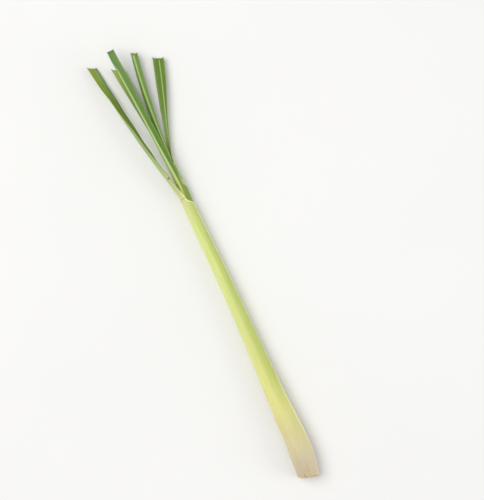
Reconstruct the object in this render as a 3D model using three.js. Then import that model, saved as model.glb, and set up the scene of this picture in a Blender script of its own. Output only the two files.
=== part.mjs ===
// A trimmed lemongrass stalk, lying on a table. Millimetres, +Z up, +X from the root end to the leaf tips.
//
// The stalk is a roll of leaves. Each leaf is one piece: a sheath, which wraps the younger leaves from the
// root end up, and a folded blade, which leaves the stalk at the leaf's collar. The youngest leaf, in the
// middle, is one piece with the short stem that the sheaths grow on: a rod that opens into a narrow blade.
import * as THREE from "three";

// ---- Driving dimensions ----
// Angles are in degrees round the stalk: 0 is +Y, 90 is up.

const GAP = 0.4; // between one sheath and the next
const MARGIN_THICKNESS = 0.6; // of every leaf at its edges
const MARGIN_WIDTH = [32, 70]; // angles from a sheath's edge over which it grows to its full thickness
const OVERLAP_RISE = [52, 24]; // angles before the over edge in which it rises clear of the under edge
const MIDRIB_THICKNESS = 1.1; // of a blade along its fold
const FOLD_ROUNDING = 1.1; // radius of that fold
const COLLAR_RIDGE = 0.25; // how far a collar stands out of its sheath
const COLLAR_RIDGE_REACH = 2.2; // along the stalk, either side of the collar
const MOUTH = 9; // length over which a sheath's edges sweep in to the neck of the blade
const CUT_SLOPE = 0.17; // of the root end's knife cut, across the stalk
const CUT_REACH = 20; // length over which that slope dies away
const TRIM_ANGLE = -25; // from +X round to the direction that all the blades are trimmed square to
const TRIM_START = 0.85; // share of a blade's length from which its sections lean towards that cut
const TIP_RAGGEDNESS = 0.9; // of the same cut

// The wrapped stalk, by distance from the root end: [distance, value], with a smooth curve between.
const HALF_WIDTH = [
  [0, 9.1],
  [12, 10.4],
  [25, 11.2],
  [42, 10.5],
  [60, 9.9],
  [88, 8.5],
  [130, 7.2],
  [180, 6.3],
  [235, 5.6],
  [265, 5.4],
  [292, 5.7],
  [350, 5.8],
];
const FLATTENING = [
  [0, 0.86],
  [40, 0.82],
  [130, 0.88],
  [230, 0.95],
  [262, 1],
  [350, 1],
];
const AXIS_Y = [
  [0, -0.7],
  [12, -3.2],
  [25, -4.8],
  [42, -5.6],
  [60, -5.3],
  [110, -5.9],
  [190, -7],
  [260, -6.6],
  [290, -8],
  [350, -10],
];
const AXIS_Z = [
  [0, 8.1],
  [12, 8.4],
  [25, 8.7],
  [42, 8.4],
  [88, 8.1],
  [130, 7.3],
  [175, 6.7],
  [275, 5.8],
  [350, 7],
];
const SHEATH_THICKNESS = [
  [0, 1.0],
  [25, 1.4],
  [42, 1.3],
  [110, 0.9],
  [220, 0.6],
  [350, 0.6],
];

// The leaves, outermost first. under and over are how far a sheath's edges reach round from its midrib, at
// the root end and at the mouth. tip is the end of the blade's midrib. leaving is its slope away from the
// stalk where it starts, and lead how far it keeps that slope. sway is how hard it is then drawn to +Y. fold
// is how far each half of the blade is bent back, at its start and at its tip.
const LEAVES = [
  {
    name: "leaf_1",
    colour: 0xc3cf7f,
    collar: 275,
    midrib: 35,
    under: [240, 190],
    over: [134, 118],
    overlaps: true,
    neckHalfWidth: 4.4,
    bladeHalfWidth: 4.8,
    fold: [54, 34],
    leaving: 0.36,
    lead: 40,
    sway: 2,
    tip: [417.5, 21.7, 1],
    midribAtTip: -62,
    columns: 24,
  },
  {
    name: "leaf_2",
    colour: 0x5d9138,
    collar: 289,
    midrib: 64,
    under: [177, 150],
    over: [177, 150],
    neckHalfWidth: 4.8,
    bladeHalfWidth: 5.6,
    fold: [44, 42],
    leaving: 0.16,
    lead: 36,
    sway: 1.6,
    tip: [422, 0.6, 20],
    midribAtTip: 50,
    columns: 18,
  },
  {
    name: "leaf_3",
    colour: 0x86a94a,
    collar: 299,
    midrib: -55,
    under: [176, 150],
    over: [176, 150],
    neckHalfWidth: 4,
    bladeHalfWidth: 5.5,
    fold: [44, 34],
    leaving: 0.1,
    lead: 20,
    sway: 1,
    tip: [406, 1, 1.6],
    midribAtTip: -76,
    columns: 16,
  },
  {
    name: "leaf_4",
    colour: 0x6d9c3c,
    collar: 311,
    midrib: 218,
    under: [175, 146],
    over: [175, 146],
    neckHalfWidth: 2.6,
    bladeHalfWidth: 6.2,
    fold: [46, 36],
    leaving: 0.1,
    lead: 14,
    sway: -2,
    tip: [400, -38, 1],
    midribAtTip: 258,
    columns: 14,
  },
];
const HEART = {
  name: "heart_leaf",
  colour: 0x8fb352,
  opens: 322,
  midrib: 100,
  arc: 80, // half the angle of each of the two arcs that make the rod's section
  bladeHalfWidth: 4.6,
  fold: [50, 50],
  leaving: 0.1,
  lead: 30,
  sway: 1.5,
  tip: [413, -19, 9],
  midribAtTip: 75,
  columns: 8,
};

const SHEATH_STATIONS = [0, 8, 20, 36, 54, 76, 104, 145, 195, 230, 249, 264, 278, 291, 305];
const MOUTH_STEPS = 8;
const BLADE_STEPS = 10;

// ---- Curves and angles ----

const { degToRad: radians, lerp: mix, smoothstep, seededRandom } = THREE.MathUtils;

// The value at x of a smooth curve through [x, value] points.
function along(points, x) {
  const last = points.length - 1;
  if (x <= points[0][0]) return points[0][1];
  if (x >= points[last][0]) return points[last][1];
  const i = points.findLastIndex((point) => point[0] <= x);
  const slope = (k) => {
    const before = points[Math.max(k - 1, 0)];
    const after = points[Math.min(k + 1, last)];
    return (after[1] - before[1]) / (after[0] - before[0]);
  };
  const step = points[i + 1][0] - points[i][0];
  const t = (x - points[i][0]) / step;
  const start = points[i][1] * (1 + 2 * t) * (1 - t) ** 2 + slope(i) * step * t * (1 - t) ** 2;
  const end = points[i + 1][1] * t * t * (3 - 2 * t) + slope(i + 1) * step * t * t * (t - 1);
  return start + end;
}

const axisPoint = (x) => new THREE.Vector3(x, along(AXIS_Y, x), along(AXIS_Z, x));
const axisTangent = (x) => axisPoint(x + 0.5).sub(axisPoint(x - 0.5)).normalize();

// The direction across the stalk at x that an angle points in.
function radial(x, angle) {
  const tangent = axisTangent(x);
  const side = new THREE.Vector3(0, 0, 1).cross(tangent).normalize();
  const lift = tangent.cross(side);
  return side.multiplyScalar(Math.cos(angle)).addScaledVector(lift, Math.sin(angle));
}

// How far the outer face of a layer lies under the outside of the stalk.
const depthOf = (layer, x) => layer * (along(SHEATH_THICKNESS, x) + GAP);

// The point at x that lies at a depth under the outside of the stalk, at an angle round it.
function pointInStalk(x, depth, angle) {
  const halfWidth = along(HALF_WIDTH, x);
  const across = (halfWidth - depth) * Math.cos(angle);
  const above = (halfWidth * along(FLATTENING, x) - depth) * Math.sin(angle);
  const point = axisPoint(x);
  point.addScaledVector(radial(x, 0), across).addScaledVector(radial(x, Math.PI / 2), above);
  point.x += CUT_SLOPE * Math.max(0, 1 - x / CUT_REACH) * (across + above);
  return point;
}

// ---- Rings ----
// A ring is a leaf's section at one station: a row of points on its outer face, and one on its inner face.
// A point's share is its place in the row: -1 at the under edge, 0 on the midrib and 1 at the over edge.

const sharesOf = (columns) => Array.from({ length: columns + 1 }, (_, j) => (2 * j) / columns - 1);

// How far a collar stands out at a distance from it.
const ridgeAt = (distance) => COLLAR_RIDGE * Math.max(0, 1 - Math.abs(distance) / COLLAR_RIDGE_REACH);

function sheathRing(leaf, layer, x) {
  const sheath = along(SHEATH_THICKNESS, x);
  const collarRadius = along(HALF_WIDTH, leaf.collar) - depthOf(layer, leaf.collar) - MARGIN_THICKNESS;
  const neckReach = leaf.neckHalfWidth / collarRadius;
  const narrowing = smoothstep(x, leaf.collar - MOUTH, leaf.collar);
  const edges = [leaf.under, leaf.over].map(([root, mouth]) => radians(mix(root, mouth, x / leaf.collar)));
  const [riseStart, riseEnd] = OVERLAP_RISE.map((angle) => edges[1] - radians(angle));
  const outer = [];
  const inner = [];
  for (const share of sharesOf(leaf.columns)) {
    const reach = mix(edges[share < 0 ? 0 : 1], neckReach, narrowing);
    const turn = share * reach;
    const fromEdge = reach - Math.abs(turn);
    const wall = mix(MARGIN_THICKNESS, sheath, smoothstep(fromEdge, ...MARGIN_WIDTH.map(radians)));
    const rise = leaf.overlaps ? (MARGIN_THICKNESS + GAP) * smoothstep(turn, riseStart, riseEnd) : 0;
    const innerDepth = depthOf(layer, x) + sheath - rise;
    const angle = radians(leaf.midrib) + turn;
    inner.push(pointInStalk(x, innerDepth, angle));
    outer.push(pointInStalk(x, innerDepth - wall - ridgeAt(x - leaf.collar), angle));
  }
  return { outer, inner };
}

// The inner face of a blade's section, as [across, outward] at a distance q from the midrib: rolled as the
// sheath is, or folded.
const rolled = (q, radius) => [radius * Math.sin(q / radius), radius * (Math.cos(q / radius) - 1)];
const folded = (q, fold) => [
  q * Math.cos(fold),
  (FOLD_ROUNDING - Math.hypot(q, FOLD_ROUNDING)) * Math.sin(fold),
];
const mixPoints = (a, b, t) => a.map((value, k) => mix(value, b[k], t));

// The outer face of a section, from its inner face and the thickness at each point.
function thickened(face, thicknesses) {
  return face.map(([across, out], j) => {
    const before = face[Math.max(j - 1, 0)];
    const after = face[Math.min(j + 1, face.length - 1)];
    const normal = new THREE.Vector2(before[1] - after[1], after[0] - before[0]).setLength(thicknesses[j]);
    return [across + normal.x, out + normal.y];
  });
}

const bladeThickness = (share) => mix(MIDRIB_THICKNESS, MARGIN_THICKNESS, Math.min(1, Math.abs(share) * 2));

// The midrib of a blade, from its start on the stalk at x to its tip.
function midribCurve(blade, start, x) {
  const tip = new THREE.Vector3(...blade.tip);
  const leaving = radial(x, radians(blade.midrib)).multiplyScalar(blade.leaving).add(axisTangent(x));
  const bend = start.clone().addScaledVector(leaving, blade.lead);
  const draw = bend.clone().lerp(tip, 0.5).add(new THREE.Vector3(0, blade.sway, 0));
  return new THREE.CubicBezierCurve3(start, bend, draw, tip);
}

// Sets a flat section on the midrib curve at t. The last ring lies in the trimming cut, and is ragged.
function ringOnCurve(blade, x, curve, t, section) {
  const origin = curve.getPointAt(t);
  const tangent = curve.getTangentAt(t);
  const out = radial(x, radians(mix(blade.midrib, blade.midribAtTip, smoothstep(t, 0, 1))));
  out.addScaledVector(tangent, -out.dot(tangent)).normalize();
  const sideways = tangent.clone().cross(out);
  const trim = new THREE.Vector3(Math.cos(radians(TRIM_ANGLE)), Math.sin(radians(TRIM_ANGLE)), 0);
  const lean = smoothstep(t, TRIM_START, 1) / tangent.dot(trim);
  const ragged = section.outer.map(() => (t === 1 ? TIP_RAGGEDNESS * (seededRandom() - 0.5) : 0));
  const place = ([across, outward], j) => {
    const offset = sideways.clone().multiplyScalar(across).addScaledVector(out, outward);
    const forward = ragged[j] - lean * offset.dot(trim);
    return origin.clone().add(offset).addScaledVector(tangent, forward);
  };
  return { outer: section.outer.map(place), inner: section.inner.map(place) };
}

function bladeRing(leaf, layer, curve, t) {
  const radius = along(HALF_WIDTH, leaf.collar) - depthOf(layer, leaf.collar) - MARGIN_THICKNESS;
  const unrolled = smoothstep(t, 0, 0.35);
  const halfWidth = mix(leaf.neckHalfWidth, leaf.bladeHalfWidth, smoothstep(t, 0, 0.9));
  const fold = radians(mix(...leaf.fold, t));
  const ridge = ridgeAt(t * curve.getLength());
  const shares = sharesOf(leaf.columns);
  const inner = shares.map((share) =>
    mixPoints(rolled(share * halfWidth, radius), folded(share * halfWidth, fold), unrolled),
  );
  const walls = shares.map((share) => mix(MARGIN_THICKNESS, bladeThickness(share), unrolled) + ridge);
  return ringOnCurve(leaf, leaf.collar, curve, t, { outer: thickened(inner, walls), inner });
}

// The rod in the middle of the stalk: its two faces are two arcs that face each other.
function rodRing(x) {
  const depth = depthOf(LEAVES.length, x);
  const turns = sharesOf(HEART.columns).map((share) => share * radians(HEART.arc));
  const outer = turns.map((turn) => pointInStalk(x, depth, radians(HEART.midrib) + turn));
  const inner = turns.map((turn) => pointInStalk(x, depth, radians(HEART.midrib) + Math.PI - turn));
  return { outer, inner };
}

// The rod opening into its blade.
function heartRing(curve, t) {
  const radius = along(HALF_WIDTH, HEART.opens) - depthOf(LEAVES.length, HEART.opens);
  const opened = smoothstep(t, 0, 0.6);
  const shares = sharesOf(HEART.columns);
  const fold = radians(mix(...HEART.fold, t));
  const face = shares.map((share) => folded(share * HEART.bladeHalfWidth, fold));
  const back = thickened(face, shares.map(bladeThickness));
  const arc = (share, side) => {
    const turn = share * radians(HEART.arc);
    return [radius * Math.sin(turn), side * radius * Math.cos(turn)];
  };
  const inner = shares.map((share, j) => mixPoints(arc(share, -1), face[j], opened));
  const outer = shares.map((share, j) => mixPoints(arc(share, 1), back[j], opened));
  return ringOnCurve(HEART, HEART.opens, curve, t, { outer, inner });
}

// ---- Solids ----

// One closed skin over a row of rings. What would lie under the table is pressed flat on it.
function solidOfRings(rings) {
  const count = rings[0].outer.length;
  const positions = rings.flatMap(({ outer, inner }) =>
    [...outer, ...inner].flatMap((point) => [point.x, point.y, Math.max(point.z, 0)]),
  );
  const outerAt = (ring, j) => 2 * count * ring + j;
  const innerAt = (ring, j) => outerAt(ring, count + j);
  const index = [];
  const triangle = (...corners) => index.push(...corners);
  const quad = (a, b, c, d) => {
    triangle(a, b, c);
    triangle(a, c, d);
  };
  const last = rings.length - 1;
  for (let i = 0; i < last; i++) {
    for (let j = 0; j < count - 1; j++) {
      // The diagonal leans towards the midrib on both sides of it, and alike on both faces.
      if (j < (count - 1) / 2) {
        quad(outerAt(i, j + 1), outerAt(i + 1, j + 1), outerAt(i + 1, j), outerAt(i, j));
        quad(innerAt(i, j + 1), innerAt(i, j), innerAt(i + 1, j), innerAt(i + 1, j + 1));
      } else {
        quad(outerAt(i, j), outerAt(i, j + 1), outerAt(i + 1, j + 1), outerAt(i + 1, j));
        quad(innerAt(i, j), innerAt(i + 1, j), innerAt(i + 1, j + 1), innerAt(i, j + 1));
      }
    }
    quad(outerAt(i, 0), outerAt(i + 1, 0), innerAt(i + 1, 0), innerAt(i, 0));
    const end = count - 1;
    quad(outerAt(i, end), innerAt(i, end), innerAt(i + 1, end), outerAt(i + 1, end));
  }
  for (let j = 0; j < count - 1; j++) {
    quad(outerAt(0, j), innerAt(0, j), innerAt(0, j + 1), outerAt(0, j + 1));
    quad(outerAt(last, j), outerAt(last, j + 1), innerAt(last, j + 1), innerAt(last, j));
  }
  const geometry = new THREE.BufferGeometry();
  geometry.setAttribute("position", new THREE.Float32BufferAttribute(positions, 3));
  geometry.setIndex(index);
  geometry.computeVertexNormals();
  return geometry;
}

function meshOf({ name, colour }, rings) {
  const material = new THREE.MeshStandardMaterial({ color: colour, roughness: 0.5, metalness: 0 });
  const mesh = new THREE.Mesh(solidOfRings(rings), material);
  mesh.name = name;
  return mesh;
}

const steps = (count) => Array.from({ length: count }, (_, i) => (i + 1) / count);

function makeLeaf(leaf, layer) {
  const mouth = leaf.collar - MOUTH;
  const stations = [...SHEATH_STATIONS.filter((x) => x < mouth - 8), mouth];
  stations.push(...steps(MOUTH_STEPS).slice(0, -1).map((t) => mouth + t * MOUTH));
  const depth = depthOf(layer, leaf.collar) + MARGIN_THICKNESS;
  const start = pointInStalk(leaf.collar, depth, radians(leaf.midrib));
  const curve = midribCurve(leaf, start, leaf.collar);
  const ridgeEnd = COLLAR_RIDGE_REACH / curve.getLength();
  const places = [0, ridgeEnd, ...steps(BLADE_STEPS)];
  seededRandom(layer + 1);
  return meshOf(leaf, [
    ...stations.map((x) => sheathRing(leaf, layer, x)),
    ...places.map((t) => bladeRing(leaf, layer, curve, t)),
  ]);
}

function makeHeart() {
  const curve = midribCurve(HEART, axisPoint(HEART.opens), HEART.opens);
  seededRandom(LEAVES.length + 1);
  return meshOf(HEART, [
    ...SHEATH_STATIONS.map(rodRing),
    ...[0, ...steps(BLADE_STEPS)].map((t) => heartRing(curve, t)),
  ]);
}

const stalk = new THREE.Group();
stalk.name = "lemongrass_stalk";
LEAVES.forEach((leaf, layer) => stalk.add(makeLeaf(leaf, layer)));
stalk.add(makeHeart());

// The origin is on the table, under the middle of the stalk's box.
const box = new THREE.Box3().setFromObject(stalk, true);
const middle = box.getCenter(new THREE.Vector3());
stalk.position.set(-middle.x, -middle.y, -box.min.z);

export default stalk;
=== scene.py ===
"""A trimmed lemongrass stalk lying on a pale table, dressed over its CAD solids.

The leaves are shaped in millimetres, +X from the root end to the tips, along nearly the same curves as the
solids, with thinner margins, fine ribs and ragged cuts. They are then set in the row frame, in metres. Each
leaf carries its own coordinates, so that its material knows where on the leaf it is.
"""

import math

import bpy
import numpy as np
from mathutils import Matrix, Vector


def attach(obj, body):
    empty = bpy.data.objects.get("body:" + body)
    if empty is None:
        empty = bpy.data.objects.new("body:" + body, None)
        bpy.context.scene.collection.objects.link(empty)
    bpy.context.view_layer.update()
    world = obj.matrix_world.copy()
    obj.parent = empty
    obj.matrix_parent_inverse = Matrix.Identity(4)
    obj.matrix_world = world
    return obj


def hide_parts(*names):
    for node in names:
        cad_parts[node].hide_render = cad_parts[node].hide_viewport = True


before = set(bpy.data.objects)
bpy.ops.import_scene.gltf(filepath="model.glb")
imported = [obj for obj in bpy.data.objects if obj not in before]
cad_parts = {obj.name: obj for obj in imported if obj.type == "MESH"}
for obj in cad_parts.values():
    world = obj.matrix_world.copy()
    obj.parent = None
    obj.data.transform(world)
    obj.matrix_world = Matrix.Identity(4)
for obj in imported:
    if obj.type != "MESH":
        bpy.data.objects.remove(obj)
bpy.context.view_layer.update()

# ---- Driving dimensions ----
# Millimetres, and degrees round the stalk: 0 is +Y, 90 is up. The solids have the same values, apart from the
# sway of the first three leaves, the twist of the first and the trim of the second, which bring their blades
# closer to the photograph.

MILLIMETRE = 0.001
ORIGIN = np.array([-210.1599, 8.6884, 0.0])  # where the stalk's zero lies in the row frame
GAP = 0.4  # between one solid sheath and the next
MARGIN_THICKNESS = 0.6  # of every solid leaf at its edges
MARGIN_WIDTH = (32, 70)  # angles from a sheath's edge over which it grows to its full thickness
OVERLAP_RISE = (52, 24)  # angles before the over edge in which it rises clear of the under edge
MIDRIB_THICKNESS = 1.1  # of a blade along its fold
FOLD_ROUNDING = 1.1  # radius of that fold
COLLAR_RIDGE = 0.25  # how far a collar stands out of its sheath
COLLAR_RIDGE_REACH = 2.2  # along the stalk, either side of the collar
MOUTH = 9  # length over which a sheath's edges sweep in to the neck of the blade
CUT_SLOPE = 0.17  # of the root end's knife cut, across the stalk
CUT_REACH = 20  # length over which that slope dies away
TRIM_ANGLE = -25  # from +X round to the direction that a blade is trimmed square to
TRIM_START = 0.85  # share of a blade's length from which its sections lean towards that cut

# The wrapped stalk, by distance from the root end: (distance, value), with a smooth curve between.
HALF_WIDTH = [
    (0, 9.1),
    (12, 10.4),
    (25, 11.2),
    (42, 10.5),
    (60, 9.9),
    (88, 8.5),
    (130, 7.2),
    (180, 6.3),
    (235, 5.6),
    (265, 5.4),
    (292, 5.7),
    (350, 5.8),
]
FLATTENING = [(0, 0.86), (40, 0.82), (130, 0.88), (230, 0.95), (262, 1), (350, 1)]
AXIS_Y = [
    (0, -0.7),
    (12, -3.2),
    (25, -4.8),
    (42, -5.6),
    (60, -5.3),
    (110, -5.9),
    (190, -7),
    (260, -6.6),
    (290, -8),
    (350, -10),
]
AXIS_Z = [
    (0, 8.1),
    (12, 8.4),
    (25, 8.7),
    (42, 8.4),
    (88, 8.1),
    (130, 7.3),
    (175, 6.7),
    (275, 5.8),
    (350, 7),
]
SHEATH_THICKNESS = [(0, 1.0), (25, 1.4), (42, 1.3), (110, 0.9), (220, 0.6), (350, 0.6)]

# The leaves, outermost first. collar is where a sheath ends and its blade starts, and midrib the angle of its
# middle line. under and over are how far its edges reach round from there, at the root end and at the collar,
# and overlaps is for the sheath that laps over itself. neck and blade are half widths, and tip is the end of
# the blade's midrib. leaving is its slope away from the stalk where it starts, and lead how far it keeps that
# slope. sway is how hard it is then drawn to +Y. fold is how far each half of the blade is bent back, at its
# start and at its tip. twist is how far the blade turns more than from midrib to midrib_at_tip, by share of
# its length. trim is the direction that its tip is cut square to. columns are the faces across the leaf.
NO_TWIST = [(0, 0), (1, 0)]
LEAVES = [
    dict(
        name="leaf_1",
        slot="outer_leaf",
        collar=275,
        midrib=35,
        under=(240, 190),
        over=(134, 118),
        overlaps=True,
        neck=4.4,
        blade=4.8,
        fold=(54, 34),
        leaving=0.36,
        lead=40,
        sway=1.2,
        tip=(417.5, 21.7, 1),
        midrib_at_tip=-62,
        twist=[(0, 0), (0.1, -4), (0.25, -14), (0.35, -20), (0.45, -10), (0.55, 0), (1, 0)],
        trim=TRIM_ANGLE,
        columns=132,
    ),
    dict(
        name="leaf_2",
        slot="second_leaf",
        collar=289,
        midrib=64,
        under=(177, 150),
        over=(177, 150),
        overlaps=False,
        neck=4.8,
        blade=5.6,
        fold=(44, 42),
        leaving=0.16,
        lead=36,
        sway=0.2,
        tip=(422, 0.6, 20),
        midrib_at_tip=50,
        twist=NO_TWIST,
        trim=-1,
        columns=96,
    ),
    dict(
        name="leaf_3",
        slot="third_leaf",
        collar=299,
        midrib=-55,
        under=(176, 150),
        over=(176, 150),
        overlaps=False,
        neck=4,
        blade=5.5,
        fold=(44, 34),
        leaving=0.1,
        lead=20,
        sway=-0.7,
        tip=(406, 1, 1.6),
        midrib_at_tip=-76,
        twist=NO_TWIST,
        trim=TRIM_ANGLE,
        columns=96,
    ),
    dict(
        name="leaf_4",
        slot="fourth_leaf",
        collar=311,
        midrib=218,
        under=(175, 146),
        over=(175, 146),
        overlaps=False,
        neck=2.6,
        blade=6.2,
        fold=(46, 36),
        leaving=0.1,
        lead=14,
        sway=-2,
        tip=(400, -38, 1),
        midrib_at_tip=258,
        twist=NO_TWIST,
        trim=TRIM_ANGLE,
        columns=96,
    ),
]

# The youngest leaf is a rod inside the others, and its collar is where that opens into its blade.
HEART = dict(
    name="heart_leaf",
    slot="young_leaf",
    collar=322,
    midrib=100,
    blade=4.6,
    fold=(50, 50),
    leaving=0.1,
    lead=30,
    sway=1.5,
    tip=(413, -19, 9),
    midrib_at_tip=75,
    twist=NO_TWIST,
    trim=TRIM_ANGLE,
    columns=64,
)

# ---- What the dressing adds ----
# Millimetres, and shares of a blade's length. An uneven line is a sum of waves: pitch is how fast the longest
# one runs, and count how many there are.

SEEN_GAP = 0.15  # between one sheath and the next
EDGE_THICKNESS = 0.24  # of a leaf at its margins
EDGE_TAPER = 3.0  # width over which a sheath thins to that
BLADE_EDGE_TAPER = 1.2  # width over which an open blade does
LAMINA_THICKNESS = 0.38  # of a blade beside its midrib
MIDRIB_SHOULDER = (0.25, 1.6)  # distances from the fold over which a blade thins to that
HEART_SHOULDER = (0.2, 1.4)  # the same on the youngest blade
UNROLLED_BY = 0.35  # share by which a blade has opened from its sheath's roll
HEART_OPEN_BY = 0.6  # share by which the rod has opened into its blade
FULL_WIDTH_BY = 0.9  # share by which a blade is as wide as it gets

WAVE_STRENGTH = (0.4, 1)  # the least and the most of one wave
WAVE_PITCH = (0.8, 1.2)  # the same of its pitch, as a share of a whole multiple of the longest one's
WAVE_START = (0, 6.28)  # anywhere in a turn, in radians

RIB_HEIGHT = 0.025  # of the soft lengthwise ribs on the outer sheath
RIB_LINE = dict(pitch=9, count=7, seed=11)
RIB_EDGE = (0.5, 3)  # distances from the sheath's edge over which the ribs start
RIB_ALONG = (2, 30)  # distances from the root end over which they start
RIB_LEVEL, RIB_SWELL = 0.6, 0.4  # shares of their height: in the mean, and how far they swell and sink
RIB_SWELL_LENGTH = 31  # to a radian

ROOT_RAGGEDNESS = 0.7  # depth of the waves in the root end's cut
ROOT_LINE = dict(pitch=5, count=9, seed=20)
ROOT_LIMITS = (0, 1.5)  # of that line, once it runs from about 0 to 1
ROOT_REACH = 9  # length over which the ragged root end dies away
LAYER_STEP = 0.35  # how far every other sheath falls back there
CUT_DOME = 1.1  # how far the outer sheath's cut falls back at the sides
CUT_SQUARENESS = 5  # how late it does so
NOTCH_DEPTH = 3.0  # of a small tear in that cut
NOTCH_ANGLE, NOTCH_WIDTH = 72, 3.2  # in degrees

TIP_RAGGEDNESS = 0.45  # depth of the waves in a tip's cut
TIP_LINE = dict(pitch=7, count=8)
TIP_LEVEL = 0.4  # what counts as the cut's own line among the waves
TIP_CORNER = 1.1  # how far its corners reach forward
TIP_SQUARENESS = 8  # how late they do so
TIP_REACH = 7  # length over which the ragged tip dies away
TIP_SEED, HEART_TIP_SEED = 60, 70

MARGIN_WAVE = 0.3  # height of the soft waves of a blade's margins
MARGIN_WAVE_LENGTH = 16  # of the longest, to a radian
MARGIN_WAVE_COUNT, MARGIN_WAVE_SEED = 4, 40
MARGIN_WAVE_ALONG = (0.1, 0.35)  # shares over which it starts

FLOOR_CLEARANCE = 0.02
FAR_FROM_EDGE = 9  # the distance from an edge that stands for having none

# Where the rings of a leaf stand.
CUT_SPACING = 0.5
HIDDEN_SPACING = 7
SEEN_SPACING = 2.5
SEEN_EARLIER = 30  # how far below the collar round it a sheath is made as if seen
MOUTH_CLEARANCE = 1  # least distance from those rings to the ones of the mouth
MOUTH_STEPS = 18
BLADE_SPACING = 1.8
BLADE_LENGTH, HEART_BLADE_LENGTH = 140, 90  # nearly, for that spacing
TIP_LENGTH, TIP_STEPS = 6, 14
CURVE_SAMPLES = 801  # along a midrib, to measure it
TANGENT_STEP = 0.5  # either way along the stalk, to find its direction
SHARP_ANGLE = 50  # between faces, from which their edge is sharp

# ---- Curves and angles ----


def smooth(t):
    return t * t * (3 - 2 * t)


def smoothstep(x, low, high):
    return smooth(np.clip((x - low) / (high - low), 0, 1))


def mix(a, b, t):
    return a + (b - a) * t


def along(points, x):
    """The value at x of a smooth curve through (x, value) points."""
    knots, values = np.array(points, float).T
    slopes = np.empty_like(values)
    slopes[1:-1] = (values[2:] - values[:-2]) / (knots[2:] - knots[:-2])
    slopes[0] = (values[1] - values[0]) / (knots[1] - knots[0])
    slopes[-1] = (values[-1] - values[-2]) / (knots[-1] - knots[-2])
    x = np.clip(x, knots[0], knots[-1])
    i = np.clip(np.searchsorted(knots, x, side="right") - 1, 0, len(knots) - 2)
    step = knots[i + 1] - knots[i]
    t = (x - knots[i]) / step
    start = values[i] * (1 + 2 * t) * (1 - t) ** 2 + slopes[i] * step * t * (1 - t) ** 2
    end = values[i + 1] * t * t * (3 - 2 * t) + slopes[i + 1] * step * t * t * (t - 1)
    return start + end


def bezier(knots, t):
    """The point at t of the Bezier curve with these knots."""
    degree = len(knots) - 1
    return sum(
        math.comb(degree, k) * (1 - t) ** (degree - k) * t**k * knot for k, knot in enumerate(knots)
    )


def unit(vectors):
    return vectors / np.linalg.norm(vectors, axis=-1, keepdims=True)


def axis_point(x):
    x = np.asarray(x, float)
    return np.stack([x, along(AXIS_Y, x), along(AXIS_Z, x)], -1)


def axis_tangent(x):
    x = np.asarray(x, float)
    return unit(axis_point(x + TANGENT_STEP) - axis_point(x - TANGENT_STEP))


def radial(x, angle):
    """The direction across the stalk at x that an angle points in."""
    tangent = axis_tangent(x)
    side = unit(np.cross([0.0, 0.0, 1.0], tangent))
    lift = np.cross(tangent, side)
    return side * np.cos(angle)[..., None] + lift * np.sin(angle)[..., None]


def depth_of(layer, x):
    """How far the outer face of a layer lies under the outside of the stalk."""
    return layer * (along(SHEATH_THICKNESS, x) + GAP)


def point_in_stalk(x, depth, angle):
    """The point at x, at a depth under the outside of the stalk and an angle round it."""
    half_width = along(HALF_WIDTH, x)
    across = (half_width - depth) * np.cos(angle)
    above = (half_width * along(FLATTENING, x) - depth) * np.sin(angle)
    point = axis_point(x)
    point = point + radial(x, np.zeros_like(x)) * across[..., None]
    point = point + radial(x, np.full_like(x, math.pi / 2)) * above[..., None]
    point[..., 0] += CUT_SLOPE * np.maximum(0, 1 - x / CUT_REACH) * (across + above)
    return point


def waves(phase, count, seed):
    """A smooth uneven line with values about -1 to 1: sines of count, seeded pitches."""
    draw = np.random.default_rng(seed)
    total = np.zeros_like(phase)
    for k in range(1, count + 1):
        strength = draw.uniform(*WAVE_STRENGTH)
        total += strength * np.sin(phase * k * draw.uniform(*WAVE_PITCH) + draw.uniform(*WAVE_START))
    return total / math.sqrt(count)


# ---- Sheaths ----
# A ring is a leaf's section at one station: a row of points on its outer face, and one on its inner face. A
# point's share is its place in the row: -1 at the under edge, 0 on the midrib and 1 at the over edge. With
# the faces comes each point's place on the leaf, which its material reads.


def ridge_at(distance):
    """How far a collar stands out at a distance from it."""
    return COLLAR_RIDGE * np.maximum(0, 1 - np.abs(distance) / COLLAR_RIDGE_REACH)


def radius_at_collar(leaf, layer):
    """The radius of a leaf's inner face where its blade leaves the stalk."""
    collar = np.float64(leaf["collar"])
    return along(HALF_WIDTH, collar) - depth_of(layer, collar) - MARGIN_THICKNESS


def outer_ribs(x, turn, edge):
    """The height of the soft lengthwise ribs on the outermost sheath."""
    line = waves(turn * RIB_LINE["pitch"], RIB_LINE["count"], RIB_LINE["seed"])
    ribs = RIB_HEIGHT * line * smoothstep(edge, *RIB_EDGE) * smoothstep(x, *RIB_ALONG)
    return ribs * (RIB_LEVEL + RIB_SWELL * np.sin(x / RIB_SWELL_LENGTH))


def root_cut(x, turn, angle, layer):
    """How far a sheath's ragged root end falls back, dying away along the stalk."""
    line = waves(turn * ROOT_LINE["pitch"], ROOT_LINE["count"], ROOT_LINE["seed"] + layer)
    back = ROOT_RAGGEDNESS * np.clip((line + 1) / 2, *ROOT_LIMITS) + LAYER_STEP * (layer % 2)
    if layer == 0:
        from_notch = (np.degrees(angle) - NOTCH_ANGLE) / NOTCH_WIDTH
        back = back + CUT_DOME * np.abs(np.cos(angle)) ** CUT_SQUARENESS
        back = back + NOTCH_DEPTH * np.exp(-(from_notch**2))
    return back * np.maximum(0, 1 - x / ROOT_REACH) ** 2


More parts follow.
